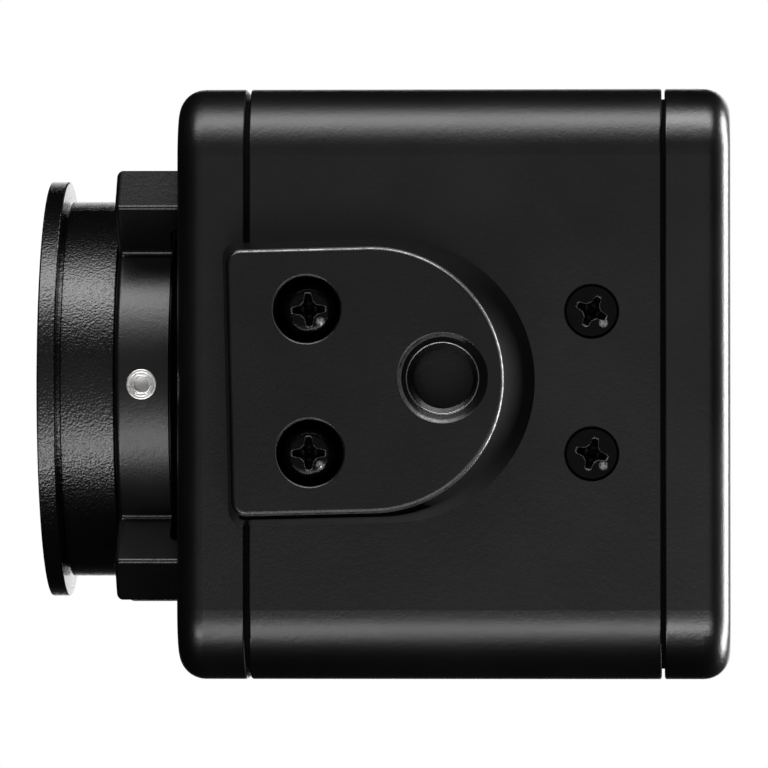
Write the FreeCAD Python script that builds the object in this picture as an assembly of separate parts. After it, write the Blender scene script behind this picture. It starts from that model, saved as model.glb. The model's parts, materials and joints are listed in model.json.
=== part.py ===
"""Machine vision camera with a square metal body, a C-mount lens block and a tripod adapter.

Millimetres. The camera stands on the outer face of its tripod adapter, which is the plane z = 0.
+Z is up, the lens looks towards -Y, and the origin is level with the tripod thread's mouth on the
body's middle plane. The optical axis is the line x = 0, z = AXIS_Z.
"""
import FreeCAD, Part
import math
import os

V = FreeCAD.Vector

# ---------------------------------------------------------------- body
BODY_WIDTH = 50.95           # square section of the plates and the housing
BODY_CORNER_R = 6.0          # rounding of the four long edges
FRONT_PLATE_THICK = 5.9
HOUSING_LENGTH = 35.4
REAR_PLATE_THICK = 5.65
PLATE_EDGE_R = 2.3           # rounding round the plates' outer faces
THREAD_TO_FRONT = 23.05      # tripod thread's centre to the front plate's face
WALL = 3.0                   # housing wall
FRONT_SEAM = 0.35            # width of the groove between front plate and housing
REAR_SEAM = 0.25
SEAM_DEPTH = 0.9             # the gaskets lie this far inside the outline
SEAM_EDGE_R = 0.2            # broken edges beside the seams
GASKET_WIDTH = 1.3
RIM_HEIGHT = 2.0             # locating rim of each plate inside the housing
RIM_WALL = 1.4
RIM_CLEARANCE = 0.1
INSIDE_CORNER_R = 1.0        # corners of the cavity, the rims and the rear plate's pocket
REAR_POCKET_DEPTH = 3.2      # the rear plate is hollow on its inner side

# ---------------------------------------------------------------- corner screws of the plates
CORNER_SCREW_INSET = 5.3     # from the body's sides
CORNER_BOSS_WALL = 2.15      # round the screw channels in the housing's corners
CORNER_SCREW_LENGTH = 12.0
CORNER_THREAD_SPARE = 1.0    # tapped depth past the screw's end
REAR_BOSS_STEP = 1.0         # the rear plate's bosses are larger than the housing's by this

# ---------------------------------------------------------------- M2.5 and M2 hardware
M25_R = 1.25
M25_CLEARANCE = 0.2          # its clearance hole, per side
M25_FLAT_HEAD_STEP = 0.88    # countersunk head beyond the thread, as driven home
M25_SINK_CLEARANCE = 0.24    # countersink's rim round the head
M25_PAN_HEAD_STEP = 1.05
M25_PAN_HEAD_HEIGHT = 1.9
M2_R = 1.0
M2_CLEARANCE = 0.1
M2_FLAT_HEAD_STEP = 0.65
M2_SINK_CLEARANCE = 0.2
M2_PAN_HEAD_STEP = 0.9
M2_PAN_HEAD_HEIGHT = 1.5
THREAD_CLEARANCE = 0.05      # between a screw's outside and its hole, per side
SCREW_TIP = 0.3              # chamfer at a screw's end
SCREW_END_GAP = 0.05         # between a screw's or stud's end and its hole's bottom
RECESS_ARM = 1.44            # cross recess of the M2.5 screws, from centre to tip
RECESS_TIP = 0.28            # half width of a wing at its tip
RECESS_TIP_CORNER = 0.1      # the tip's corners are broken by this
RECESS_SHOULDER = 0.72       # a wing keeps its taper out to here
RECESS_ROOT = 0.4            # half width of a wing there
RECESS_DEPTH = 1.2
RECESS_FLOOR = 0.45          # the recess tapers to this share of its mouth
RECESS_DIMPLE_R = 0.42       # pointed middle below the recess
RECESS_DIMPLE_DEPTH = 0.35
M2_RECESS_SIZE = 0.8         # the M2 screws' recess beside the M2.5 screws'
HEAD_LAND = 0.35             # straight edge of a countersunk head
SINK_WALL = 0.3              # straight wall at a countersink's mouth
HEAD_SEAT_GAP = 0.05         # a countersunk head stands this far off its cone
PAN_SIDE = 0.4               # straight side of a pan head, as a share of its height
PAN_CROWN = 0.62             # flat crown of a pan head, as a share of its radius
PAN_SHOULDER = (0.93, 0.8)   # its round passes here, as shares of radius and height

# ---------------------------------------------------------------- lens mount block
BLOCK_LENGTH = 5.75          # front plate's face to the lens flange face
BLOCK_WALL = 3.84            # ring's outside to the corner pillars' flats
PILLAR_CORNER = 3.56         # the pillars' corners are cut off by this
PILLAR_FLANK = (3.78, 5.29)  # from a pillar's ridge to where its lobe starts, across and inwards
LOBE_RISE = 5.37             # round lobe between two pillars, its top above its start
BLOCK_EDGE_R = 0.5           # rounding of the front edge
BLOCK_RIDGE_R = 0.3
RELIEF_WIDTH = 4.3           # turned relief behind the lobes
RELIEF_LENGTH = 1.1
RELIEF_NOSE_R = 0.75         # rounding in the relief's corner
SPIGOT_WALL = 2.0            # the middle of the block reaches the plate, this thick round the ring
THROAT_STEP = 0.6            # throat behind the ring, wider than the lens thread
BLOCK_SCREW_OUT = 6.92       # the pillars' screws, outward from the ring's outside
BLOCK_SCREW_LENGTH = 9.0
BLOCK_LIP = 0.5              # inner lip behind the back-focus ring

# ---------------------------------------------------------------- back-focus ring and its set screws
LENS_THREAD_R = 12.7         # 1-32 UN
LENS_LEAD_STEP = 0.3         # plain counterbore in front of the lens thread
LENS_LEAD_LENGTH = 1.6
RING_WALL = 2.0              # round that counterbore
RING_LENGTH = 5.1
RING_CLEARANCE = 0.06
RING_SLOT_WIDTH = 1.5        # two slots for a spanner
RING_SLOT_DEPTH = 1.0
SET_SCREW_BACK = 2.35        # behind the lens flange face
SET_SCREW_SUNK = 0.02        # outer end below the lobe's top
SET_SCREW_RIM = 0.2          # chamfer round its outer end
SET_SCREW_HEX = 1.3          # across the flats
SET_SCREW_HEX_DEPTH = 1.3
SET_SCREW_POINT_R = 0.7
SET_SCREW_POINT_GAP = 0.1    # between the cone point's end and the ring

# ---------------------------------------------------------------- dust cap
CAP_FLANGE_STEP = 1.78       # flange beyond the barrel
CAP_FLANGE_THICK = 1.57
CAP_GROOVE_WIDTH = 0.3
CAP_GROOVE_DEPTH = 0.75
CAP_BARREL_STEP = 3.65       # barrel beyond the counterbore that the skirt fits
CAP_BARREL_LENGTH = 4.75
CAP_GAP = 0.18               # barrel to the lens flange face
CAP_EDGE_R = 0.15
CAP_GROOVE_EDGE_R = 0.12     # rounding beside the groove
CAP_END_WALL = 1.6
CAP_SKIRT_END_GAP = 0.25     # the skirt's end stands this far in front of the lens thread
CAP_SKIRT_WALL = 1.3
CAP_BARREL_WALL = 1.5
CAP_POCKET_DEPTH = 3.6       # ring-shaped hollow between the barrel and the skirt
CAP_SKIRT_CLEARANCE = 0.06
CAP_SKIRT_LEAD = 0.3

# ---------------------------------------------------------------- filter
FLANGE_FOCUS = 17.526        # lens flange face to the sensor's surface
FILTER_LEDGE = 1.3           # the filter rests this far over the throat's edge
FILTER_CLEARANCE = 0.3       # round the filter in its seat
FILTER_SEAT_DEPTH = 2.65     # from the front plate's rear face
FILTER_THICK = 1.0
FILTER_GASKET_THICK = 0.3
RETAINER_THICK = 1.2
RETAINER_WALL = 2.0
RETAINER_CLEARANCE = 0.06
RETAINER_SLOT = 1.6

# ---------------------------------------------------------------- sensor and boards
PACKAGE_SIZE = (21.0, 2.6, 19.0)
GLASS_SIZE = (18.0, 0.7, 16.0)
DIE_SIZE = (14.2, 0.4, 10.4)
GLASS_TO_DIE = 0.4
DIE_MARGIN = 0.9             # cavity round the die
GLASS_CLEARANCE = 0.05
BOARD_THICK = 1.6
BOARD_MARGIN = 0.6           # board's edge to the housing wall
BOARD_NOTCH_CLEARANCE = 0.5
BOARD_SCREW_INSET = 3.5      # from the housing's walls
BOARD_SCREW_Z = 11.0
STANDOFF_R = 2.3
SPACER_HEX = 4.0             # across the flats
SPACER_STUD_LENGTH = 4.5
FRONT_SPACER_LENGTH = 8.0
BOARD_CONNECTOR_SIZE = (18.0, 4.4)
BOARD_SOCKET_STEP = 0.5      # the mating half is smaller by this on each side
BOARD_CONNECTOR_Z = 15.5
PROCESSOR_SIZE = (17.0, 1.5, 15.0)
MEMORY_SIZE = (8.0, 1.0, 11.0)
MEMORY_SPACING = 8.9
MEMORY_COUNT = 4
PAD_THICK = 1.0
SPREADER_THICK = 1.5
SPREADER_HALF_HEIGHT = 8.0
SPREADER_FLANGE = 3.0
SPREADER_CLEARANCE = 0.05
SPREADER_FOLD_R = 1.2
COIL_SIZE = (6.5, 4.0, 6.5)
COIL_AT = (12.6, -12.0)
CAPACITOR_R = 2.5
CAPACITOR_HEIGHT = 5.5
CAPACITORS_AT = [(12.6, -5.5), (12.6, 0.5)]
TRANSFORMER_SIZE = (7.6, 5.5, 13.0)
TRANSFORMER_AT = (-12.6, -7.0)

# ---------------------------------------------------------------- rear connectors
CONNECTOR_RECESS = 0.2       # connectors' mouths behind the rear face
NETWORK_AT_Z = -9.5          # network socket below the axis
NETWORK_SIZE = (16.0, 13.5)
NETWORK_LENGTH = 13.6
NETWORK_SHELL = 0.3
NETWORK_CUT_CLEARANCE = 0.2
NETWORK_INSERT_CLEARANCE = 0.05
NETWORK_INSERT_BACK = 0.3    # the insert's mouth behind the shell's
NETWORK_CAVITY = (11.9, 6.9)
NETWORK_CAVITY_DEPTH = 12.0
NETWORK_LATCH = (6.4, 1.9)
NETWORK_CAVITY_UP = 0.9      # cavity's middle above the socket's middle
NETWORK_PINS = 8
NETWORK_PIN_PITCH = 1.02
NETWORK_PIN = 0.35
NETWORK_PIN_DROP = 2.2       # how far the springs stand into the cavity
NETWORK_PIN_START = 3.0      # from the socket's mouth
NETWORK_PIN_END = 2.5        # from the cavity's floor
LOCK_SPACING = 40.0          # M2 lock screw holes each side of the network socket
LOCK_HOLE_DEPTH = 4.0
ROUND_AT_Z = 11.5            # round socket above the axis
ROUND_SHELL_R = 5.75
ROUND_SHELL_WALL = 0.85
ROUND_SHELL_LENGTH = 10.4
ROUND_SHELL_CHAMFER = 0.25
ROUND_FLANGE_STEP = 1.45     # flange beyond the shell
ROUND_FLANGE_THICK = 1.2
ROUND_CLEARANCE = 0.05
ROUND_FREE_DEPTH = 5.0       # mouth to the pins' ends
ROUND_PIN_R = 0.35
ROUND_PIN_CLEARANCE = 0.02
ROUND_PIN_STANDS = 3.5       # pins out of their insert
ROUND_INSERT_LENGTH = 3.6
ROUND_PIN_RINGS = [(9, 3.3), (3, 1.15)]
LIGHT_R = 1.0
LIGHT_CLEARANCE = 0.05
LIGHT_AT_X = 13.5
LIGHT_SPACING = 4.0
LIGHT_COUNT = 3
LIGHT_COLLAR_STEP = 0.6      # collar beyond the pipe
LIGHT_COLLAR_LENGTH = 1.0
LED_SIZE = (2.0, 0.8, 1.3)
LED_GAP = 0.2

# ---------------------------------------------------------------- tripod adapter
ADAPTER_THICK = 6.0
ADAPTER_BACK = 18.75         # thread's centre to the straight end, at the body
ADAPTER_BACK_FACE = 18.15    # the same at the outer face
ADAPTER_HALF = 12.16         # half width at the body, also the round end's radius
ADAPTER_HALF_FACE = 11.27
ADAPTER_ROUND_AT = 4.41      # round end's centre in front of the thread, at the body
ADAPTER_ROUND_AT_FACE = 6.17
ADAPTER_CORNER_R = 1.3
ADAPTER_EDGE_R = 0.4
ADAPTER_TURN = 1.35          # the adapter sits turned by this in its screws' clearance
ADAPTER_SCREW_X = 6.1
ADAPTER_SCREW_BACK = 11.4    # screws to the thread's centre
ADAPTER_SINK_CLEARANCE = 0.55  # counterbores round the screws' heads
ADAPTER_SINK_DEPTH = 3.0
ADAPTER_SINK_EDGE_R = 0.2
ADAPTER_SCREW_LENGTH = 5.6
ADAPTER_RECESS_SIZE = 1.05
TRIPOD_THREAD_R = 3.175      # 1/4-20 UNC
TRIPOD_SINK_STEP = 0.675     # countersink at its mouth, wider than the thread
TRIPOD_SINK_DEPTH = 0.65
TRIPOD_SINK_EDGE_R = 0.15    # rounding round the countersink
PLUG_SCREW_Y = 12.62         # two countersunk screws behind the adapter
PLUG_SCREW_LENGTH = 5.0

# ---------------------------------------------------------------- how far each screw is driven round
ADAPTER_SCREW_TURNS = (0.5, 3.0)
PLUG_SCREW_TURNS = (-15.0, -26.0)
PLATE_SCREW_TURNS = (10.0, 45.0, 80.0, 115.0)
BLOCK_SCREW_TURNS = (20.0, 45.0, 70.0, 95.0)
BOARD_SCREW_TURN = 15.0

# ---------------------------------------------------------------- sizes that follow from the above
M25_CLEAR_R = M25_R + M25_CLEARANCE
M25_FLAT_HEAD_R = M25_R + M25_FLAT_HEAD_STEP
M25_SINK_R = M25_FLAT_HEAD_R + M25_SINK_CLEARANCE
M25_PAN_HEAD_R = M25_R + M25_PAN_HEAD_STEP
M2_CLEAR_R = M2_R + M2_CLEARANCE
M2_FLAT_HEAD_R = M2_R + M2_FLAT_HEAD_STEP
M2_SINK_R = M2_FLAT_HEAD_R + M2_SINK_CLEARANCE
M2_PAN_HEAD_R = M2_R + M2_PAN_HEAD_STEP
BODY_HALF = BODY_WIDTH / 2
CAVITY_HALF = BODY_HALF - WALL
CORNER_SCREW_AT = BODY_HALF - CORNER_SCREW_INSET
CORNER_BOSS_R = M25_R + CORNER_BOSS_WALL
REAR_BOSS_R = CORNER_BOSS_R + REAR_BOSS_STEP
BOARD_SCREW_X = CAVITY_HALF - BOARD_SCREW_INSET
LENS_LEAD_R = LENS_THREAD_R + LENS_LEAD_STEP
RING_R = LENS_LEAD_R + RING_WALL
THROAT_R = LENS_THREAD_R + THROAT_STEP
BLOCK_HALF = RING_R + BLOCK_WALL
PILLAR_RIDGE = BLOCK_HALF - PILLAR_CORNER
LOBE_ROOT_ACROSS = PILLAR_RIDGE - PILLAR_FLANK[0]
LOBE_ROOT_OUT = BLOCK_HALF - PILLAR_FLANK[1]
LOBE_TOP = LOBE_ROOT_OUT + LOBE_RISE
SPIGOT_R = RING_R + SPIGOT_WALL
RELIEF_R = SPIGOT_R + RELIEF_WIDTH
BLOCK_SCREW_AT = (RING_R + BLOCK_SCREW_OUT) * math.sqrt(0.5)
CAP_BARREL_R = LENS_LEAD_R + CAP_BARREL_STEP
CAP_FLANGE_R = CAP_BARREL_R + CAP_FLANGE_STEP
CAP_GROOVE_R = CAP_BARREL_R - CAP_GROOVE_DEPTH
FILTER_R = THROAT_R + FILTER_LEDGE
FILTER_SEAT_R = FILTER_R + FILTER_CLEARANCE
ROUND_BORE_R = ROUND_SHELL_R - ROUND_SHELL_WALL
ROUND_FLANGE_R = ROUND_SHELL_R + ROUND_FLANGE_STEP
LIGHT_COLLAR_R = LIGHT_R + LIGHT_COLLAR_STEP
ADAPTER_SINK_R = M25_PAN_HEAD_R + ADAPTER_SINK_CLEARANCE
TRIPOD_SINK_R = TRIPOD_THREAD_R + TRIPOD_SINK_STEP

# ---------------------------------------------------------------- levels that follow from the above
AXIS_Z = ADAPTER_THICK + BODY_HALF
FRONT_FACE = -THREAD_TO_FRONT
FRONT_PLATE_REAR = FRONT_FACE + FRONT_PLATE_THICK
HOUSING_FRONT = FRONT_PLATE_REAR + FRONT_SEAM
HOUSING_REAR = HOUSING_FRONT + HOUSING_LENGTH
REAR_PLATE_FRONT = HOUSING_REAR + REAR_SEAM
REAR_FACE = REAR_PLATE_FRONT + REAR_PLATE_THICK
REAR_WALL_INSIDE = REAR_PLATE_FRONT + REAR_POCKET_DEPTH
LENS_FACE = FRONT_FACE - BLOCK_LENGTH
BLOCK_LIP_FRONT = FRONT_FACE - BLOCK_LIP
CAP_REAR = LENS_FACE - CAP_GAP
CAP_FLANGE_REAR = CAP_REAR - CAP_BARREL_LENGTH - CAP_GROOVE_WIDTH
CAP_FRONT = CAP_FLANGE_REAR - CAP_FLANGE_THICK
FILTER_SEAT = FRONT_PLATE_REAR - FILTER_SEAT_DEPTH
FILTER_FRONT = FILTER_SEAT + FILTER_GASKET_THICK
FILTER_REAR = FILTER_FRONT + FILTER_THICK
SENSOR_PLANE = LENS_FACE + FLANGE_FOCUS
PACKAGE_FRONT = SENSOR_PLANE - GLASS_TO_DIE - GLASS_SIZE[1]
SENSOR_BOARD_FRONT = PACKAGE_FRONT + PACKAGE_SIZE[1]
SENSOR_BOARD_REAR = SENSOR_BOARD_FRONT + BOARD_THICK
MAIN_BOARD_FRONT = SENSOR_BOARD_REAR + FRONT_SPACER_LENGTH
MAIN_BOARD_REAR = MAIN_BOARD_FRONT + BOARD_THICK
PROCESSOR_REAR = MAIN_BOARD_REAR + PROCESSOR_SIZE[1]
SPREADER_FRONT = PROCESSOR_REAR + PAD_THICK
CONNECTOR_MOUTH = REAR_FACE - CONNECTOR_RECESS
IO_BOARD_REAR = CONNECTOR_MOUTH - NETWORK_LENGTH
IO_BOARD_FRONT = IO_BOARD_REAR - BOARD_THICK
ROUND_INSERT_REAR = CONNECTOR_MOUTH - ROUND_FREE_DEPTH - ROUND_PIN_STANDS
BODY_BOTTOM = ADAPTER_THICK

TOWARDS_LENS = V(0, -1, 0)
TOWARDS_REAR = V(0, 1, 0)
DOWN = V(0, 0, -1)


# ---------------------------------------------------------------- drawing helpers
def rod(radius, y_from, y_to, x=0.0, z=0.0):
    """A round bar along Y; x and z are counted from the optical axis."""
    return Part.makeCylinder(radius, y_to - y_from, V(x, y_from, AXIS_Z + z), TOWARDS_REAR)


def bar(size_x, size_z, y_from, y_to, x=0.0, z=0.0):
    """A square-edged block along Y, centred x and z from the optical axis."""
    corner = V(x - size_x / 2, y_from, AXIS_Z + z - size_z / 2)
    return Part.makeBox(size_x, y_to - y_from, size_z, corner)


def long_edges(shape):
    """The edges that run along Y."""
    return [e for e in shape.Edges if e.BoundBox.XLength < 1e-6 and e.BoundBox.ZLength < 1e-6]


def upright_edges(shape):
    """The edges that run along Z."""
    return [e for e in shape.Edges if e.BoundBox.XLength < 1e-6 and e.BoundBox.YLength < 1e-6]


def edges_at_y(shape, y):
    """The edges that lie in the plane of that y."""
    return [e for e in shape.Edges if abs(e.BoundBox.YMin - y) < 1e-4 and abs(e.BoundBox.YMax - y) < 1e-4]


def is_circle(edge, radius):
    return isinstance(edge.Curve, Part.Circle) and abs(edge.Curve.Radius - radius) < 1e-4


def rounded_square(half, corner_r, y_from, y_to):
    """A square bar about the optical axis with rounded long edges."""
    shape = bar(2 * half, 2 * half, y_from, y_to)
    return shape.makeFillet(corner_r, long_edges(shape))


def revolve_about_axis(points):
    """A solid turned about the optical axis from (radius, y) corners."""
    corners = [V(r, y, AXIS_Z) for r, y in points]
    face = Part.Face(Part.makePolygon(corners + corners[:1]))
    return face.revolve(V(0, 0, AXIS_Z), TOWARDS_REAR, 360)


def turned(points):
    """A solid turned about +Z from (radius, height) corners."""
    corner_points = [V(r, 0, z) for r, z in points]
    face = Part.Face(Part.makePolygon(corner_points + corner_points[:1]))
    return face.revolve(V(0, 0, 0), V(0, 0, 1), 360)


def corners(across, up=None):
    """The four places at plus and minus the two distances from the optical axis."""
    up = across if up is None else up
    return [(sx * across, sz * up) for sx in (-1, 1) for sz in (-1, 1)]


def place(shape, at, outward):
    """Puts a shape drawn about +Z at a point, with its +Z turned outward."""
    placed = shape.copy()
    placed.Placement = FreeCAD.Placement(at, FreeCAD.Rotation(V(0, 0, 1), outward))
    return placed


def on_axis(x, y, z):
    """A point whose x and z are counted from the optical axis."""
    return V(x, y, AXIS_Z + z)


# ---------------------------------------------------------------- screws, drawn about +Z
def cross_wire(size, z):
    """The outline of a cross whose four wings widen towards the middle."""
    arm, tip, corner = RECESS_ARM, RECESS_TIP, RECESS_TIP_CORNER
    wing = [(RECESS_SHOULDER, -RECESS_ROOT), (arm - corner, -tip), (arm, corner - tip)]
    wing += [(arm, tip - corner), (arm - corner, tip), (RECESS_SHOULDER, RECESS_ROOT)]
    outline = []
    for _ in range(4):
        outline += wing
        wing = [(-y, x) for x, y in wing]
    corner_points = [V(x * size, y * size, z) for x, y in outline]
    return Part.makePolygon(corner_points + corner_points[:1])


def cross_recess(top, size=1.0, turn=0.0):
    """The tapered cross of a Phillips recess, its mouth at height top."""
    floor_z = top - RECESS_DEPTH * size
    recess = Part.makeLoft([cross_wire(size, top), cross_wire(size * RECESS_FLOOR, floor_z)], True, True)
    dimple_end = floor_z - RECESS_DIMPLE_DEPTH * size
    dimple = turned([(0, dimple_end), (RECESS_DIMPLE_R * size, floor_z), (0, top)])
    recess = recess.fuse(dimple)
    recess.rotate(V(0, 0, 0), V(0, 0, 1), turn)
    return recess


def flat_head_screw(thread_r, head_r, length, size=1.0, turn=0.0):
    """A countersunk screw whose head's top is at z = 0."""
    shank_r = thread_r - THREAD_CLEARANCE
    cone_end = -HEAD_LAND - (head_r - shank_r)
    outline = [(0, 0), (head_r, 0), (head_r, -HEAD_LAND), (shank_r, cone_end)]
    outline += [(shank_r, SCREW_TIP - length), (shank_r - SCREW_TIP, -length), (0, -length)]
    return turned(outline).cut(cross_recess(0.0, size, turn))


def pan_head_screw(thread_r, head_r, head_height, length, size=1.0, turn=0.0):
    """A pan head screw; the head bears on z = 0 and its shank hangs below."""
    shank_r = thread_r - THREAD_CLEARANCE
    rim = V(head_r, 0, PAN_SIDE * head_height)
    crown = V(PAN_CROWN * head_r, 0, head_height)
    shoulder = V(PAN_SHOULDER[0] * head_r, 0, PAN_SHOULDER[1] * head_height)
    tip = [V(0, 0, head_height), V(0, 0, -length)]
    tip += [V(shank_r - SCREW_TIP, 0, -length), V(shank_r, 0, SCREW_TIP - length)]
    foot = [V(shank_r, 0, 0), V(head_r, 0, 0), rim]
    shoulder_arc = Part.Arc(rim, shoulder, crown).toShape()
    outline = Part.Wire(Part.makePolygon([crown] + tip + foot).Edges + [shoulder_arc])
    screw = Part.Face(outline).revolve(V(0, 0, 0), V(0, 0, 1), 360)
    return screw.cut(cross_recess(head_height, size, turn))


def hex_bar(across_flats, z_from, z_to):
    radius = across_flats / math.sqrt(3)
    points = [V(radius * math.cos(math.radians(a)), radius * math.sin(math.radians(a)), z_from)
              for a in range(0, 361, 60)]
    return Part.Face(Part.makePolygon(points)).extrude(V(0, 0, z_to - z_from))


def countersink(sink_r, hole_r, depth, at, outward):
    """The space of a countersunk screw: a short wall, a 90 degree cone and a straight hole."""
    outline = [(0, 0), (sink_r, 0), (sink_r, -SINK_WALL), (hole_r, hole_r - sink_r - SINK_WALL)]
    outline += [(hole_r, -depth), (0, -depth)]
    return place(turned(outline), at, outward)


def sunk_depth(sink_r, head_r):
    """How far a countersunk head's top lies below the face when its cone is home."""
    return SINK_WALL + sink_r - head_r - HEAD_LAND - HEAD_SEAT_GAP


# ---------------------------------------------------------------- front plate and its filter
def front_plate():
    plate = rounded_square(BODY_HALF, BODY_CORNER_R, FRONT_FACE, FRONT_PLATE_REAR)
    plate = plate.makeFillet(PLATE_EDGE_R, edges_at_y(plate, FRONT_FACE))
    plate = plate.makeFillet(SEAM_EDGE_R, edges_at_y(plate, FRONT_PLATE_REAR))
    rim_end = FRONT_PLATE_REAR + RIM_HEIGHT
    plate = plate.fuse(locating_rim(FRONT_PLATE_REAR, rim_end))
    for x, z in corners(BOARD_SCREW_X, BOARD_SCREW_Z):
        plate = plate.fuse(rod(STANDOFF_R, FRONT_PLATE_REAR, SENSOR_BOARD_FRONT, x, z))
    plate = plate.removeSplitter()
    cuts = [rod(THROAT_R, FRONT_FACE, FRONT_PLATE_REAR)]
    cuts.append(rod(FILTER_SEAT_R, FILTER_SEAT, FRONT_PLATE_REAR))
    for x, z in corners(BOARD_SCREW_X, BOARD_SCREW_Z):
        cuts.append(rod(M2_R, SENSOR_BOARD_FRONT - SPACER_STUD_LENGTH, SENSOR_BOARD_FRONT, x, z))
    for x, z in corners(CORNER_SCREW_AT):
        at = on_axis(x, FRONT_FACE, z)
        cuts.append(countersink(M25_SINK_R, M25_CLEAR_R, FRONT_PLATE_THICK, at, TOWARDS_LENS))
    sunk = sunk_depth(M2_SINK_R, M2_FLAT_HEAD_R)
    tap_end = LENS_FACE + sunk + BLOCK_SCREW_LENGTH + SCREW_END_GAP
    for x, z in corners(BLOCK_SCREW_AT):
        cuts.append(rod(M2_R, FRONT_FACE, tap_end, x, z))
    return plate.cut(Part.makeCompound(cuts))


def locating_rim(y_from, y_to):
    """The rim of a plate that centres it in the housing, open at the corner channels."""
    outer = CAVITY_HALF - RIM_CLEARANCE
    rim = rounded_square(outer, INSIDE_CORNER_R, y_from, y_to)
    rim = rim.cut(rounded_square(outer - RIM_WALL, INSIDE_CORNER_R, y_from, y_to))
    for x, z in corners(CORNER_SCREW_AT):
        rim = rim.cut(rod(CORNER_BOSS_R + BOARD_NOTCH_CLEARANCE, y_from, y_to, x, z))
    return rim


def gasket(y_from, y_to):
    """A flat frame between a plate and the housing, inside the seam."""
    outer = BODY_HALF - SEAM_DEPTH
    frame = rounded_square(outer, BODY_CORNER_R - SEAM_DEPTH, y_from, y_to)
    inner_r = BODY_CORNER_R - SEAM_DEPTH - GASKET_WIDTH
    frame = frame.cut(rounded_square(outer - GASKET_WIDTH, inner_r, y_from, y_to))
    for x, z in corners(CORNER_SCREW_AT):
        frame = frame.cut(rod(M25_CLEAR_R, y_from, y_to, x, z))
    return frame


def filter_glass():
    return rod(FILTER_R, FILTER_FRONT, FILTER_REAR)


def filter_gasket():
    ring = rod(FILTER_R, FILTER_SEAT, FILTER_FRONT)
    return ring.cut(rod(THROAT_R, FILTER_SEAT, FILTER_FRONT))


def filter_retainer():
    """The threaded ring that holds the filter, with two spanner slots."""
    outer = FILTER_SEAT_R - RETAINER_CLEARANCE
    ring_rear = FILTER_REAR + RETAINER_THICK
    ring = rod(outer, FILTER_REAR, ring_rear).cut(rod(outer - RETAINER_WALL, FILTER_REAR, ring_rear))
    slot = bar(4 * outer, RETAINER_SLOT, ring_rear - RETAINER_THICK / 2, ring_rear)
    return ring.cut(slot)


# ---------------------------------------------------------------- housing and rear plate
def housing():
    body = rounded_square(BODY_HALF, BODY_CORNER_R, HOUSING_FRONT, HOUSING_REAR)
    ends = edges_at_y(body, HOUSING_FRONT) + edges_at_y(body, HOUSING_REAR)
    body = body.makeFillet(SEAM_EDGE_R, ends)
    cavity = rounded_square(CAVITY_HALF, INSIDE_CORNER_R, HOUSING_FRONT, HOUSING_REAR)
    for x, z in corners(CORNER_SCREW_AT):
        cavity = cavity.cut(rod(CORNER_BOSS_R, HOUSING_FRONT, HOUSING_REAR, x, z))
    body = body.cut(cavity)
    front_tap = FRONT_FACE + CORNER_SCREW_LENGTH + CORNER_THREAD_SPARE
    rear_tap = REAR_FACE - CORNER_SCREW_LENGTH - CORNER_THREAD_SPARE
    cuts = []
    for x, z in corners(CORNER_SCREW_AT):
        cuts.append(rod(M25_R, HOUSING_FRONT, front_tap, x, z))
        cuts.append(rod(M25_R, rear_tap, HOUSING_REAR, x, z))
    for side in (-1, 1):
        at = V(side * ADAPTER_SCREW_X, -ADAPTER_SCREW_BACK, BODY_BOTTOM)
        cuts.append(Part.makeCylinder(M25_R, WALL, at))
        at = V(side * ADAPTER_SCREW_X, PLUG_SCREW_Y, BODY_BOTTOM)
        cuts.append(countersink(M25_SINK_R, M25_R, WALL, at, DOWN))
    return body.cut(Part.makeCompound(cuts))


def rear_plate():
    plate = rounded_square(BODY_HALF, BODY_CORNER_R, REAR_PLATE_FRONT, REAR_FACE)
    plate = plate.makeFillet(PLATE_EDGE_R, edges_at_y(plate, REAR_FACE))
    plate = plate.makeFillet(SEAM_EDGE_R, edges_at_y(plate, REAR_PLATE_FRONT))
    plate = plate.fuse(locating_rim(REAR_PLATE_FRONT - RIM_HEIGHT, REAR_PLATE_FRONT)).removeSplitter()
    pocket_half = CAVITY_HALF - RIM_CLEARANCE - RIM_WALL
    pocket = rounded_square(pocket_half, INSIDE_CORNER_R, REAR_PLATE_FRONT, REAR_WALL_INSIDE)
    for x, z in corners(CORNER_SCREW_AT):
        pocket = pocket.cut(rod(REAR_BOSS_R, REAR_PLATE_FRONT, REAR_WALL_INSIDE, x, z))
    for side in (-1, 1):
        boss = rod(2 * M2_R, REAR_PLATE_FRONT, REAR_WALL_INSIDE, side * LOCK_SPACING / 2, NETWORK_AT_Z)
        pocket = pocket.cut(boss)
    wide = NETWORK_SIZE[0] + 2 * NETWORK_CUT_CLEARANCE
    high = NETWORK_SIZE[1] + 2 * NETWORK_CUT_CLEARANCE
    cuts = [pocket, bar(wide, high, REAR_WALL_INSIDE, REAR_FACE, 0, NETWORK_AT_Z)]
    cuts.append(rod(ROUND_SHELL_R + ROUND_CLEARANCE, REAR_WALL_INSIDE, REAR_FACE, 0, ROUND_AT_Z))
    for x, z in light_places():
        cuts.append(rod(LIGHT_R + LIGHT_CLEARANCE, REAR_WALL_INSIDE, REAR_FACE, x, z))
    for x, z in corners(CORNER_SCREW_AT):
        at = on_axis(x, REAR_FACE, z)
        cuts.append(countersink(M25_SINK_R, M25_CLEAR_R, REAR_PLATE_THICK, at, TOWARDS_REAR))
    for side in (-1, 1):
        cuts.append(rod(M2_R, REAR_FACE - LOCK_HOLE_DEPTH, REAR_FACE, side * LOCK_SPACING / 2, NETWORK_AT_Z))
    return plate.cut(Part.makeCompound(cuts))


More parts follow.
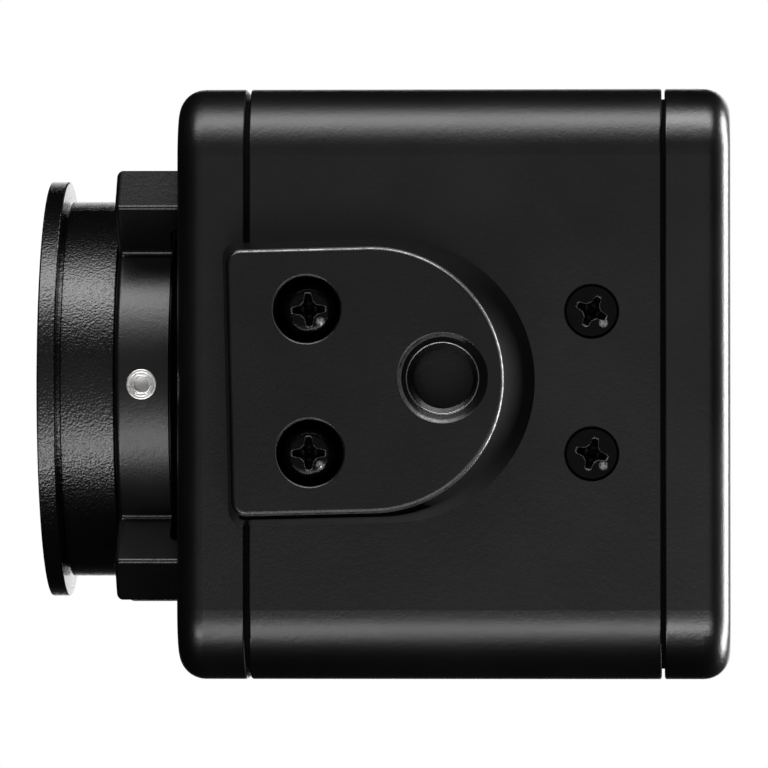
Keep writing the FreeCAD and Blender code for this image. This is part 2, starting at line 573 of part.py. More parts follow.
def plate_screws(face, outward):
    """Four countersunk screws that hold one plate to the housing."""
    screws = []
    sunk = sunk_depth(M25_SINK_R, M25_FLAT_HEAD_R)
    for turn, (x, z) in zip(PLATE_SCREW_TURNS, corners(CORNER_SCREW_AT)):
        screw = flat_head_screw(M25_R, M25_FLAT_HEAD_R, CORNER_SCREW_LENGTH, 1.0, turn)
        screws.append(place(screw, on_axis(x, face, z) - outward * sunk, outward))
    return Part.makeCompound(screws)


# ---------------------------------------------------------------- lens mount block
def quarter_turns(x, z, turns):
    for _ in range(turns):
        x, z = z, -x
    return x, z


def block_outline():
    """Four round lobes between four chamfered corner pillars."""
    edges = []
    for side in range(4):
        def point(x, z, turns=side):
            turned_x, turned_z = quarter_turns(x, z, turns)
            return on_axis(turned_x, LENS_FACE, turned_z)
        ridge_before = point(-PILLAR_RIDGE, BLOCK_HALF)
        root_before = point(-LOBE_ROOT_ACROSS, LOBE_ROOT_OUT)
        root_after = point(LOBE_ROOT_ACROSS, LOBE_ROOT_OUT)
        ridge_after = point(PILLAR_RIDGE, BLOCK_HALF)
        edges.append(Part.LineSegment(ridge_before, root_before).toShape())
        edges.append(Part.Arc(root_before, point(0, LOBE_TOP), root_after).toShape())
        edges.append(Part.LineSegment(root_after, ridge_after).toShape())
        edges.append(Part.LineSegment(ridge_after, point(BLOCK_HALF, PILLAR_RIDGE)).toShape())
    return Part.Wire(edges)


def lens_mount():
    block = Part.Face(block_outline()).extrude(V(0, BLOCK_LENGTH, 0))
    block = block.makeFillet(BLOCK_RIDGE_R, long_edges(block))
    block = block.makeFillet(BLOCK_EDGE_R, edges_at_y(block, LENS_FACE))
    relief_start = FRONT_FACE - RELIEF_LENGTH
    relief = rod(RELIEF_R, relief_start, FRONT_FACE)
    relief = relief.makeFillet(RELIEF_NOSE_R, edges_at_y(relief, relief_start))
    cuts = [relief.cut(rod(SPIGOT_R, relief_start, FRONT_FACE))]
    cuts.append(rod(RING_R + RING_CLEARANCE, LENS_FACE, BLOCK_LIP_FRONT))
    cuts.append(rod(THROAT_R, LENS_FACE, FRONT_FACE))
    for x, z in corners(BLOCK_SCREW_AT):
        at = on_axis(x, LENS_FACE, z)
        cuts.append(countersink(M2_SINK_R, M2_CLEAR_R, BLOCK_LENGTH, at, TOWARDS_LENS))
    for outward in (DOWN, -DOWN):
        at = V(0, LENS_FACE + SET_SCREW_BACK, AXIS_Z)
        cuts.append(Part.makeCylinder(M25_R, 2 * BLOCK_HALF, at, outward))
    return block.cut(Part.makeCompound(cuts))


def lens_mount_screws():
    screws = []
    sunk = sunk_depth(M2_SINK_R, M2_FLAT_HEAD_R)
    for turn, (x, z) in zip(BLOCK_SCREW_TURNS, corners(BLOCK_SCREW_AT)):
        screw = flat_head_screw(M2_R, M2_FLAT_HEAD_R, BLOCK_SCREW_LENGTH, M2_RECESS_SIZE, turn)
        screws.append(place(screw, on_axis(x, LENS_FACE + sunk, z), TOWARDS_LENS))
    return Part.makeCompound(screws)


def back_focus_ring():
    """The ring that carries the lens thread and turns in the block to set the back focus."""
    ring_rear = LENS_FACE + RING_LENGTH
    ring = rod(RING_R, LENS_FACE, ring_rear).cut(rod(LENS_THREAD_R, LENS_FACE, ring_rear))
    ring = ring.cut(rod(LENS_LEAD_R, LENS_FACE, LENS_FACE + LENS_LEAD_LENGTH))
    slot = bar(4 * RING_R, RING_SLOT_WIDTH, LENS_FACE, LENS_FACE + RING_SLOT_DEPTH)
    return ring.cut(slot)


def ring_set_screws():
    """Two hexagon socket set screws, below and above, that lock the ring."""
    tip = RING_R + SET_SCREW_POINT_GAP
    length = LOBE_TOP - SET_SCREW_SUNK - tip
    shank_r = M25_R - THREAD_CLEARANCE
    cone = shank_r - SET_SCREW_POINT_R
    outline = [(0, 0), (SET_SCREW_POINT_R, 0), (shank_r, cone), (shank_r, length - SET_SCREW_RIM)]
    outline += [(shank_r - SET_SCREW_RIM, length), (0, length)]
    socket = hex_bar(SET_SCREW_HEX, length - SET_SCREW_HEX_DEPTH, length)
    screw = turned(outline).cut(socket)
    screws = []
    for outward in (DOWN, -DOWN):
        at = V(0, LENS_FACE + SET_SCREW_BACK, AXIS_Z) + outward * tip
        screws.append(place(screw, at, outward))
    return Part.makeCompound(screws)


# ---------------------------------------------------------------- dust cap
def dust_cap():
    """A moulded cap whose skirt is pushed into the counterbore in front of the lens thread."""
    skirt_r = LENS_LEAD_R - CAP_SKIRT_CLEARANCE
    bore_r = skirt_r - CAP_SKIRT_WALL
    skirt_end = LENS_FACE + LENS_LEAD_LENGTH - CAP_SKIRT_END_GAP
    inside = CAP_FRONT + CAP_END_WALL
    groove_rear = CAP_FLANGE_REAR + CAP_GROOVE_WIDTH
    points = [(0, CAP_FRONT), (CAP_FLANGE_R, CAP_FRONT), (CAP_FLANGE_R, CAP_FLANGE_REAR)]
    points += [(CAP_GROOVE_R, CAP_FLANGE_REAR), (CAP_GROOVE_R, groove_rear), (CAP_BARREL_R, groove_rear)]
    points += [(CAP_BARREL_R, CAP_REAR), (skirt_r, CAP_REAR), (skirt_r, skirt_end - CAP_SKIRT_LEAD)]
    points += [(skirt_r - CAP_SKIRT_LEAD, skirt_end), (bore_r, skirt_end), (bore_r, inside), (0, inside)]
    cap = revolve_about_axis(points)
    ends = rims_at(cap, CAP_FRONT, CAP_FLANGE_R) + rims_at(cap, CAP_REAR, CAP_BARREL_R)
    cap = cap.makeFillet(CAP_EDGE_R, ends)
    beside = rims_at(cap, CAP_FLANGE_REAR, CAP_FLANGE_R) + rims_at(cap, groove_rear, CAP_BARREL_R)
    cap = cap.makeFillet(CAP_GROOVE_EDGE_R, beside)
    pocket = rod(CAP_BARREL_R - CAP_BARREL_WALL, CAP_REAR - CAP_POCKET_DEPTH, CAP_REAR)
    return cap.cut(pocket.cut(rod(skirt_r, CAP_REAR - CAP_POCKET_DEPTH, CAP_REAR)))


def rims_at(shape, y, radius):
    """The round edges of that radius in the plane of that y."""
    return [e for e in edges_at_y(shape, y) if is_circle(e, radius)]


# ---------------------------------------------------------------- sensor
def image_sensor():
    """The ceramic package, stepped for its glass and its die."""
    wide, deep, high = PACKAGE_SIZE
    package = bar(wide, high, PACKAGE_FRONT, PACKAGE_FRONT + deep)
    glass_rear = PACKAGE_FRONT + GLASS_SIZE[1]
    clear = 2 * GLASS_CLEARANCE
    package = package.cut(bar(GLASS_SIZE[0] + clear, GLASS_SIZE[2] + clear, PACKAGE_FRONT, glass_rear))
    margin = 2 * DIE_MARGIN
    die_floor = SENSOR_PLANE + DIE_SIZE[1]
    return package.cut(bar(DIE_SIZE[0] + margin, DIE_SIZE[2] + margin, glass_rear, die_floor))


def sensor_glass():
    return bar(GLASS_SIZE[0], GLASS_SIZE[2], PACKAGE_FRONT, PACKAGE_FRONT + GLASS_SIZE[1])


def sensor_die():
    return bar(DIE_SIZE[0], DIE_SIZE[2], SENSOR_PLANE, SENSOR_PLANE + DIE_SIZE[1])


# ---------------------------------------------------------------- boards and what stands on them
def board(y_from):
    """A circuit board that clears the housing wall and the corner channels."""
    half = CAVITY_HALF - BOARD_MARGIN
    shape = bar(2 * half, 2 * half, y_from, y_from + BOARD_THICK)
    for x, z in corners(CORNER_SCREW_AT):
        notch = rod(CORNER_BOSS_R + BOARD_NOTCH_CLEARANCE, y_from, y_from + BOARD_THICK, x, z)
        shape = shape.cut(notch)
    for x, z in corners(BOARD_SCREW_X, BOARD_SCREW_Z):
        shape = shape.cut(rod(M2_CLEAR_R, y_from, y_from + BOARD_THICK, x, z))
    return max(shape.Solids, key=lambda solid: solid.Volume)


def spacers(y_from, y_to):
    """Hexagon spacers with a stud at the front and a tapped hole at the rear."""
    length = y_to - y_from
    stud_r = M2_R - THREAD_CLEARANCE
    stud_length = SPACER_STUD_LENGTH - SCREW_END_GAP
    spacer = hex_bar(SPACER_HEX, 0, length)
    spacer = spacer.cut(Part.makeCylinder(M2_R, SPACER_STUD_LENGTH, V(0, 0, length - SPACER_STUD_LENGTH)))
    spacer = spacer.fuse(Part.makeCylinder(stud_r, stud_length, V(0, 0, 0), DOWN))
    places = [on_axis(x, y_from, z) for x, z in corners(BOARD_SCREW_X, BOARD_SCREW_Z)]
    return Part.makeCompound([place(spacer, at, TOWARDS_REAR) for at in places])


def io_board_screws():
    length = BOARD_THICK + SPACER_STUD_LENGTH - SCREW_END_GAP
    screw = pan_head_screw(M2_R, M2_PAN_HEAD_R, M2_PAN_HEAD_HEIGHT, length,
                           M2_RECESS_SIZE, BOARD_SCREW_TURN)
    places = [on_axis(x, IO_BOARD_REAR, z) for x, z in corners(BOARD_SCREW_X, BOARD_SCREW_Z)]
    return Part.makeCompound([place(screw, at, TOWARDS_REAR) for at in places])


def memory_chips():
    wide, deep, high = MEMORY_SIZE
    chips = []
    for n in range(MEMORY_COUNT):
        x = (n - (MEMORY_COUNT - 1) / 2) * MEMORY_SPACING
        chips.append(bar(wide, high, MAIN_BOARD_FRONT - deep, MAIN_BOARD_FRONT, x, 0.0))
    return Part.makeCompound(chips)


def processor_chip():
    return bar(PROCESSOR_SIZE[0], PROCESSOR_SIZE[2], MAIN_BOARD_REAR, PROCESSOR_REAR)


def thermal_pad():
    return bar(PROCESSOR_SIZE[0], PROCESSOR_SIZE[2], PROCESSOR_REAR, SPREADER_FRONT)


def heat_spreader():
    """A folded plate that carries the processor's heat to both side walls."""
    reach = 2 * (CAVITY_HALF - SPREADER_CLEARANCE)
    high = 2 * SPREADER_HALF_HEIGHT
    rear = SPREADER_FRONT + SPREADER_THICK
    plate = bar(reach, high, SPREADER_FRONT, rear + SPREADER_FLANGE)
    plate = plate.cut(bar(reach - 2 * SPREADER_THICK, high, rear, rear + SPREADER_FLANGE))
    folds = [e for e in upright_edges(plate) if abs(e.BoundBox.YMin - SPREADER_FRONT) < 1e-4]
    return plate.makeFillet(SPREADER_FOLD_R, folds)


def board_connector(y_from, y_to, z):
    wide, high = BOARD_CONNECTOR_SIZE
    middle = (y_from + y_to) / 2
    header = bar(wide, high, y_from, middle, 0, z)
    step = 2 * BOARD_SOCKET_STEP
    socket = bar(wide - step, high - step, middle, y_to, 0, z)
    return header.fuse(socket)


def power_parts():
    """The coil and capacitors of the supply on the connector board."""
    x, z = COIL_AT
    parts = [bar(COIL_SIZE[0], COIL_SIZE[2], IO_BOARD_REAR, IO_BOARD_REAR + COIL_SIZE[1], x, z)]
    for x, z in CAPACITORS_AT:
        parts.append(rod(CAPACITOR_R, IO_BOARD_REAR, IO_BOARD_REAR + CAPACITOR_HEIGHT, x, z))
    return Part.makeCompound(parts)


def network_transformer():
    wide, deep, high = TRANSFORMER_SIZE
    x, z = TRANSFORMER_AT
    return bar(wide, high, IO_BOARD_REAR, IO_BOARD_REAR + deep, x, z)


# ---------------------------------------------------------------- network socket
def network_shell():
    wide, high = NETWORK_SIZE
    shell = bar(wide, high, IO_BOARD_REAR, CONNECTOR_MOUTH, 0, NETWORK_AT_Z)
    inner = 2 * NETWORK_SHELL
    return shell.cut(bar(wide - inner, high - inner, IO_BOARD_REAR, CONNECTOR_MOUTH, 0, NETWORK_AT_Z))


def network_insert():
    """The moulded body with the plug's cavity and the slot for its latch."""
    shrink = 2 * (NETWORK_SHELL + NETWORK_INSERT_CLEARANCE)
    wide, high = NETWORK_SIZE[0] - shrink, NETWORK_SIZE[1] - shrink
    mouth = CONNECTOR_MOUTH - NETWORK_INSERT_BACK
    body = bar(wide, high, IO_BOARD_REAR, mouth, 0, NETWORK_AT_Z)
    floor = CONNECTOR_MOUTH - NETWORK_CAVITY_DEPTH
    cavity_z = NETWORK_AT_Z + NETWORK_CAVITY_UP
    body = body.cut(bar(NETWORK_CAVITY[0], NETWORK_CAVITY[1], floor, mouth, 0, cavity_z))
    latch_z = cavity_z - NETWORK_CAVITY[1] / 2 - NETWORK_LATCH[1] / 2
    return body.cut(bar(NETWORK_LATCH[0], NETWORK_LATCH[1], floor, mouth, 0, latch_z))


def network_contacts():
    """Eight sprung wires that slope from the cavity's roof towards its floor."""
    floor = CONNECTOR_MOUTH - NETWORK_CAVITY_DEPTH
    roof = AXIS_Z + NETWORK_AT_Z + NETWORK_CAVITY_UP + NETWORK_CAVITY[1] / 2
    start = CONNECTOR_MOUTH - NETWORK_PIN_START
    end = floor + NETWORK_PIN_END
    wires = []
    for n in range(NETWORK_PINS):
        x = (n - (NETWORK_PINS - 1) / 2) * NETWORK_PIN_PITCH - NETWORK_PIN / 2
        outline = [V(x, start, roof), V(x, end, roof - NETWORK_PIN_DROP)]
        outline += [V(x, end, roof - NETWORK_PIN_DROP + NETWORK_PIN), V(x, start - 2 * NETWORK_PIN, roof)]
        face = Part.Face(Part.makePolygon(outline + outline[:1]))
        wires.append(face.extrude(V(NETWORK_PIN, 0, 0)))
    return Part.makeCompound(wires)


# ---------------------------------------------------------------- round power and signal socket
def round_shell():
    shell_front = CONNECTOR_MOUTH - ROUND_SHELL_LENGTH
    shell = rod(ROUND_SHELL_R, shell_front, CONNECTOR_MOUTH, 0, ROUND_AT_Z)
    flange_front = REAR_WALL_INSIDE - ROUND_FLANGE_THICK
    shell = shell.fuse(rod(ROUND_FLANGE_R, flange_front, REAR_WALL_INSIDE, 0, ROUND_AT_Z)).removeSplitter()
    shell = shell.cut(rod(ROUND_BORE_R, shell_front, CONNECTOR_MOUTH, 0, ROUND_AT_Z))
    return shell.makeChamfer(ROUND_SHELL_CHAMFER, edges_at_y(shell, CONNECTOR_MOUTH))


def round_insert():
    front = ROUND_INSERT_REAR - ROUND_INSERT_LENGTH
    insert = rod(ROUND_BORE_R - ROUND_CLEARANCE, front, ROUND_INSERT_REAR, 0, ROUND_AT_Z)
    for x, z in round_pin_places():
        insert = insert.cut(rod(ROUND_PIN_R + ROUND_PIN_CLEARANCE, front, ROUND_INSERT_REAR, x, z))
    return insert


def round_pin_places():
    places = []
    for count, ring_r in ROUND_PIN_RINGS:
        for n in range(count):
            angle = 2 * math.pi * n / count + math.pi / 2
            places.append((ring_r * math.cos(angle), ROUND_AT_Z + ring_r * math.sin(angle)))
    return places


def round_pins():
    pin_end = ROUND_INSERT_REAR + ROUND_PIN_STANDS
    return Part.makeCompound([rod(ROUND_PIN_R, IO_BOARD_REAR, pin_end, x, z) for x, z in round_pin_places()])


# ---------------------------------------------------------------- status lights
def light_places():
    middle = (LIGHT_COUNT - 1) / 2
    return [(LIGHT_AT_X, ROUND_AT_Z + (n - middle) * LIGHT_SPACING) for n in range(LIGHT_COUNT)]


def light_pipes():
    pipes = []
    start = IO_BOARD_REAR + LED_SIZE[1] + LED_GAP
    for x, z in light_places():
        pipe = rod(LIGHT_R, start, REAR_FACE, x, z)
        collar = rod(LIGHT_COLLAR_R, REAR_WALL_INSIDE - LIGHT_COLLAR_LENGTH, REAR_WALL_INSIDE, x, z)
        pipes.append(pipe.fuse(collar).removeSplitter())
    return Part.makeCompound(pipes)


def status_leds():
    wide, deep, high = LED_SIZE
    leds = [bar(wide, high, IO_BOARD_REAR, IO_BOARD_REAR + deep, x, z) for x, z in light_places()]
    return Part.makeCompound(leds)


# ---------------------------------------------------------------- tripod adapter
def adapter_outline(half, back, round_at, z):
    """A straight end with two small corners and a half-round end."""
    r = ADAPTER_CORNER_R
    c = r * (1 - math.sqrt(0.5))
    end_y = -round_at
    edges = [Part.LineSegment(V(r - half, -back, z), V(half - r, -back, z)).toShape()]
    for side in (1, -1):
        start, end = V(side * (half - r), -back, z), V(side * half, r - back, z)
        edges.append(Part.Arc(start, V(side * (half - c), c - back, z), end).toShape())
        edges.append(Part.LineSegment(end, V(side * half, end_y, z)).toShape())
    edges.append(Part.Arc(V(half, end_y, z), V(0, end_y + half, z), V(-half, end_y, z)).toShape())
    return Part.Wire(Part.__sortEdges__(edges))


def tripod_adapter():
    face = adapter_outline(ADAPTER_HALF_FACE, ADAPTER_BACK_FACE, ADAPTER_ROUND_AT_FACE, 0)
    seat = adapter_outline(ADAPTER_HALF, ADAPTER_BACK, ADAPTER_ROUND_AT, ADAPTER_THICK)
    adapter = Part.makeLoft([face, seat], True, True)
    outer = [e for e in adapter.Edges if e.BoundBox.ZMax < 1e-4]
    adapter = adapter.makeFillet(ADAPTER_EDGE_R, outer)
    for side in (-1, 1):
        at = V(side * ADAPTER_SCREW_X, -ADAPTER_SCREW_BACK, 0)
        adapter = adapter.cut(Part.makeCylinder(M25_CLEAR_R, ADAPTER_THICK, at))
        adapter = adapter.cut(Part.makeCylinder(ADAPTER_SINK_R, ADAPTER_SINK_DEPTH, at))
    adapter = adapter.cut(Part.makeCylinder(TRIPOD_THREAD_R, ADAPTER_THICK))
    adapter = adapter.cut(Part.makeCone(TRIPOD_SINK_R, TRIPOD_THREAD_R, TRIPOD_SINK_DEPTH))
    rims = [e for e in adapter.Edges if e.BoundBox.ZMax < 1e-4]
    adapter = adapter.makeFillet(ADAPTER_SINK_EDGE_R, [e for e in rims if is_circle(e, ADAPTER_SINK_R)])
    rims = [e for e in adapter.Edges if e.BoundBox.ZMax < 1e-4]
    adapter = adapter.makeFillet(TRIPOD_SINK_EDGE_R, [e for e in rims if is_circle(e, TRIPOD_SINK_R)])
    adapter.rotate(V(0, -ADAPTER_SCREW_BACK, 0), V(0, 0, 1), -ADAPTER_TURN)
    return adapter


def adapter_screws():
    screws = []
    for side, turn in zip((-1, 1), ADAPTER_SCREW_TURNS):
        screw = pan_head_screw(M25_R, M25_PAN_HEAD_R, M25_PAN_HEAD_HEIGHT, ADAPTER_SCREW_LENGTH,
                               ADAPTER_RECESS_SIZE, turn)
        at = V(side * ADAPTER_SCREW_X, -ADAPTER_SCREW_BACK, ADAPTER_SINK_DEPTH)
        screws.append(place(screw, at, DOWN))
    return Part.makeCompound(screws)


def plug_screws():
    screws = []
    sunk = sunk_depth(M25_SINK_R, M25_FLAT_HEAD_R)
    for side, turn in zip((-1, 1), PLUG_SCREW_TURNS):
        screw = flat_head_screw(M25_R, M25_FLAT_HEAD_R, PLUG_SCREW_LENGTH, 1.0, turn)
        screws.append(place(screw, V(side * ADAPTER_SCREW_X, PLUG_SCREW_Y, BODY_BOTTOM + sunk), DOWN))
    return Part.makeCompound(screws)


# ---------------------------------------------------------------- all pieces
def pieces():
    return {
        "front_plate": front_plate(),
        "housing": housing(),
        "rear_plate": rear_plate(),
        "front_gasket": gasket(FRONT_PLATE_REAR, HOUSING_FRONT),
        "rear_gasket": gasket(HOUSING_REAR, REAR_PLATE_FRONT),
        "front_plate_screws": plate_screws(FRONT_FACE, TOWARDS_LENS),
        "rear_plate_screws": plate_screws(REAR_FACE, TOWARDS_REAR),
        "lens_mount": lens_mount(),
        "lens_mount_screws": lens_mount_screws(),
        "back_focus_ring": back_focus_ring(),
        "ring_set_screws": ring_set_screws(),
        "dust_cap": dust_cap(),
        "filter_gasket": filter_gasket(),
        "filter_glass": filter_glass(),
        "filter_retainer": filter_retainer(),
        "image_sensor": image_sensor(),
        "sensor_glass": sensor_glass(),
        "sensor_die": sensor_die(),
        "sensor_board": board(SENSOR_BOARD_FRONT),
        "main_board": board(MAIN_BOARD_FRONT),
        "io_board": board(IO_BOARD_FRONT),
        "front_spacers": spacers(SENSOR_BOARD_REAR, MAIN_BOARD_FRONT),
        "rear_spacers": spacers(MAIN_BOARD_REAR, IO_BOARD_FRONT),
        "io_board_screws": io_board_screws(),
        "memory_chips": memory_chips(),
        "processor_chip": processor_chip(),
        "thermal_pad": thermal_pad(),
        "heat_spreader": heat_spreader(),
        "front_board_connector": board_connector(SENSOR_BOARD_REAR, MAIN_BOARD_FRONT, -BOARD_CONNECTOR_Z),
        "rear_board_connector": board_connector(MAIN_BOARD_REAR, IO_BOARD_FRONT, BOARD_CONNECTOR_Z),
        "power_parts": power_parts(),
        "network_transformer": network_transformer(),
        "network_shell": network_shell(),
        "network_insert": network_insert(),
        "network_contacts": network_contacts(),
        "round_shell": round_shell(),
        "round_insert": round_insert(),
        "round_pins": round_pins(),
        "light_pipes": light_pipes(),
        "status_leds": status_leds(),
        "tripod_adapter": tripod_adapter(),
        "adapter_screws": adapter_screws(),
        "plug_screws": plug_screws(),
    }


os.makedirs("parts", exist_ok=True)
for name, shape in pieces().items():
    if not shape.isValid() or shape.Volume <= 0:
        raise ValueError(name + " is not a sound solid")
    shape.exportStep("parts/" + name + ".step")
    print(f"{name:24s} solids {len(shape.Solids):2d}  volume {shape.Volume:9.1f} mm3")
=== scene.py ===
"""Looks of the machine vision camera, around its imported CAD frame.

Metres, in the CAD's frame: +Z is up, the lens looks towards -Y, and the camera stands on z = 0.
"""

import functools
import json
import math

import bmesh
import bpy
from mathutils import Matrix, Vector


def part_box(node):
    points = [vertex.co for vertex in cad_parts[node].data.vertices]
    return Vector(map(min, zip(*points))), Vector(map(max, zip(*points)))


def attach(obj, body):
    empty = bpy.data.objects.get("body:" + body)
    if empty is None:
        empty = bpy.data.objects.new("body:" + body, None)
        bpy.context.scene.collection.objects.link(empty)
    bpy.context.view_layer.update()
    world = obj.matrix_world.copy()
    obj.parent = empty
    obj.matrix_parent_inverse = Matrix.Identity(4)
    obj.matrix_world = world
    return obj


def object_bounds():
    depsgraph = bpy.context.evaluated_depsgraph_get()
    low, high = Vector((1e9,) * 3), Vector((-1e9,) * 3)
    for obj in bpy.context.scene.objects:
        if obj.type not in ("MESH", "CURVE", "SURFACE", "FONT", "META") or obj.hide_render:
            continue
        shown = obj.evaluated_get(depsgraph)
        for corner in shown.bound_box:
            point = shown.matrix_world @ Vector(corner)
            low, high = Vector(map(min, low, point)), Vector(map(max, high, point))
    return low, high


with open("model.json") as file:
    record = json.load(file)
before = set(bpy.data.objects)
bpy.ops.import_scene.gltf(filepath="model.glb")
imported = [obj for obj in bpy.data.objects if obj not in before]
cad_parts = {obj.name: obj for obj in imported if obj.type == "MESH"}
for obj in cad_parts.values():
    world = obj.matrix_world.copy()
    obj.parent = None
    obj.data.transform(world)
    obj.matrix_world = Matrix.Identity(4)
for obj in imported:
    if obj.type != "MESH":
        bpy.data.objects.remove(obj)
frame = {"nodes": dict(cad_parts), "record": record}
cad_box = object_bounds()
nodes = frame["nodes"]
mounts = {m["name"]: m for m in frame["record"]["mounts"]}
scene = bpy.context.scene

MM = 0.001


# ---------------------------------------------------------------- material helpers
class Surface:
    """A material with one Principled shader, and short ways to wire textures into it."""

    def __init__(self, name, color, roughness, metallic=0.0, specular=0.5):
        self.material = bpy.data.materials.new(name)
        self.material.use_nodes = True
        self.tree = self.material.node_tree
        self.shader = self.tree.nodes["Principled BSDF"]
        self.place = self.add("ShaderNodeTexCoord").outputs["Object"]
        self.set("Base Color", (*color, 1.0))
        self.set("Roughness", roughness)
        self.set("Metallic", metallic)
        self.set("Specular IOR Level", specular)

    def add(self, kind, **settings):
        node = self.tree.nodes.new(kind)
        for key, value in settings.items():
            setattr(node, key, value)
        return node

    def link(self, source, target):
        self.tree.links.new(source, target)

    def set(self, socket, value):
        self.shader.inputs[socket].default_value = value

    def noise(self, size, detail=2.0, stretch=(1.0, 1.0, 1.0)):
        """Noise with features of about that size in metres."""
        node = self.add("ShaderNodeTexNoise")
        node.inputs["Scale"].default_value = 1.0 / size
        node.inputs["Detail"].default_value = detail
        mapping = self.add("ShaderNodeMapping")
        mapping.inputs["Scale"].default_value = stretch
        self.link(self.place, mapping.inputs["Vector"])
        self.link(mapping.outputs["Vector"], node.inputs["Vector"])
        return node.outputs["Fac"]

    def cells(self, size):
        """Smooth cells of about that size in metres, as the distance to each cell's middle."""
        node = self.add("ShaderNodeTexVoronoi", feature="SMOOTH_F1")
        node.inputs["Scale"].default_value = 1.0 / size
        self.link(self.place, node.inputs["Vector"])
        return node.outputs["Distance"]

    def spread(self, source, low, high, start=0.3, end=0.7):
        """The source's values between start and end, turned into low to high."""
        node = self.add("ShaderNodeMapRange")
        node.inputs["From Min"].default_value = start
        node.inputs["From Max"].default_value = end
        node.inputs["To Min"].default_value = low
        node.inputs["To Max"].default_value = high
        self.link(source, node.inputs["Value"])
        return node.outputs["Result"]

    def rise(self, source, start, end):
        """A mask: 0 up to start, 1 from end."""
        return self.spread(source, 0.0, 1.0, start, end)

    def fade(self, source, start, end):
        """A mask: 1 up to start, 0 from end."""
        return self.spread(source, 1.0, 0.0, start, end)

    def combine(self, operation, one, two):
        node = self.add("ShaderNodeMath", operation=operation)
        self.link(one, node.inputs[0])
        self.link(two, node.inputs[1])
        return node.outputs["Value"]

    def every(self, *masks):
        """Where all the masks are 1."""
        return functools.reduce(lambda one, two: self.combine("MULTIPLY", one, two), masks)

    def either(self, *masks):
        """Where any of the masks is 1."""
        return functools.reduce(lambda one, two: self.combine("MAXIMUM", one, two), masks)

    def along(self, axis):
        """The place along X, Y or Z, in metres."""
        node = self.add("ShaderNodeSeparateXYZ")
        self.link(self.place, node.inputs["Vector"])
        return node.outputs[axis]

    def from_line(self, across, point):
        """The distance from a line through the point, measured only across it, in metres."""
        flat = self.add("ShaderNodeVectorMath", operation="MULTIPLY")
        flat.inputs[1].default_value = across
        self.link(self.place, flat.inputs[0])
        node = self.add("ShaderNodeVectorMath", operation="DISTANCE")
        node.inputs[1].default_value = point
        self.link(flat.outputs["Vector"], node.inputs[0])
        return node.outputs["Value"]

    def beside(self, x, y):
        """The distance from an upright line."""
        return self.from_line((1.0, 1.0, 0.0), (x, y, 0.0))

    def round_axis(self, z):
        """The distance from the optical axis at that height."""
        return self.from_line((1.0, 0.0, 1.0), (0.0, 0.0, z))

    def facing(self, direction):
        """How far the surface faces that way, from -1 to 1."""
        node = self.add("ShaderNodeVectorMath", operation="DOT_PRODUCT")
        node.inputs[1].default_value = direction
        self.link(self.add("ShaderNodeNewGeometry").outputs["Normal"], node.inputs[0])
        return node.outputs["Value"]

    def tint(self, source, dark, light):
        """Colours the surface from dark to light with the source."""
        node = self.add("ShaderNodeValToRGB")
        node.color_ramp.elements[0].position = 0.3
        node.color_ramp.elements[0].color = (*dark, 1.0)
        node.color_ramp.elements[1].position = 0.7
        node.color_ramp.elements[1].color = (*light, 1.0)
        self.link(source, node.inputs["Fac"])
        self.link(node.outputs["Color"], self.shader.inputs["Base Color"])

    def rough(self, source, low, high):
        self.link(self.spread(source, low, high), self.shader.inputs["Roughness"])

    def wear(self, mask, metal):
        """Shows polished metal through a tinted surface where the mask is 1."""
        before = self.shader.inputs["Base Color"].links[0].from_socket
        node = self.add("ShaderNodeMix", data_type="RGBA")
        node.inputs[7].default_value = (*metal, 1.0)
        self.link(mask, node.inputs[0])
        self.link(before, node.inputs[6])
        self.link(node.outputs[2], self.shader.inputs["Base Color"])
        self.link(mask, self.shader.inputs["Metallic"])

    def dull(self, mask):
        """Takes the shine away where the mask is 1, which paints shade there."""
        level = self.shader.inputs["Specular IOR Level"]
        self.link(self.spread(mask, level.default_value, 0.0, 0.0, 1.0), level)

    def bump(self, *heights):
        """Stacks bumps of (source, height in metres)."""
        normal = None
        for source, height in heights:
            node = self.add("ShaderNodeBump")
            node.inputs["Strength"].default_value = 1.0
            node.inputs["Distance"].default_value = height
            self.link(source, node.inputs["Height"])
            if normal is not None:
                self.link(normal, node.inputs["Normal"])
            normal = node.outputs["Normal"]
        self.link(normal, self.shader.inputs["Normal"])


def scaled(color, share):
    return [min(1.0, c * share) for c in color]


def screw_boxes(node):
    """The boxes of a node's two screws, which stand apart along X."""
    mesh = nodes[node].data
    low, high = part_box(node)
    middle = (low.x + high.x) / 2
    boxes = []
    for side in (-1, 1):
        points = [v.co for v in mesh.vertices if (v.co.x - middle) * side > 0]
        boxes.append((Vector([min(c[k] for c in points) for k in range(3)]),
                      Vector([max(c[k] for c in points) for k in range(3)])))
    return boxes


# ---------------------------------------------------------------- paints
PAINT = (0.0016, 0.0016, 0.0017)
PAINT_ROUGHNESS = 0.33
PAINT_GRAIN = 0.18 * MM
ADAPTER_GRAIN = 0.16 * MM
PAINT_GRAIN_HEIGHT = 0.012 * MM
PAINT_CLOUD = 9 * MM             # slow changes of tone and gloss
WORN_ALUMINIUM = (0.26, 0.255, 0.25)

# painted shade: the relief behind the block loses its shine, so it renders dark
RELIEF_DEPTH = (1.12 * MM, 1.0 * MM)     # in front of the plate, behind the block's lobes
RELIEF_R = (20.0 * MM, 20.4 * MM)
# painted shade: the adapter's counterbores and its low flank facing -X lose their shine
COUNTERBORE_R = (2.95 * MM, 3.05 * MM)
BELOW_FACE = (0.25 * MM, 0.5 * MM)       # heights above the adapter's outer face
WORN_EDGE_FROM = (0.02 * MM, 0.09 * MM)
WORN_EDGE_TO = (0.2 * MM, 0.36 * MM)
SHADED_FLANK_TO = (2.4 * MM, 3.8 * MM)


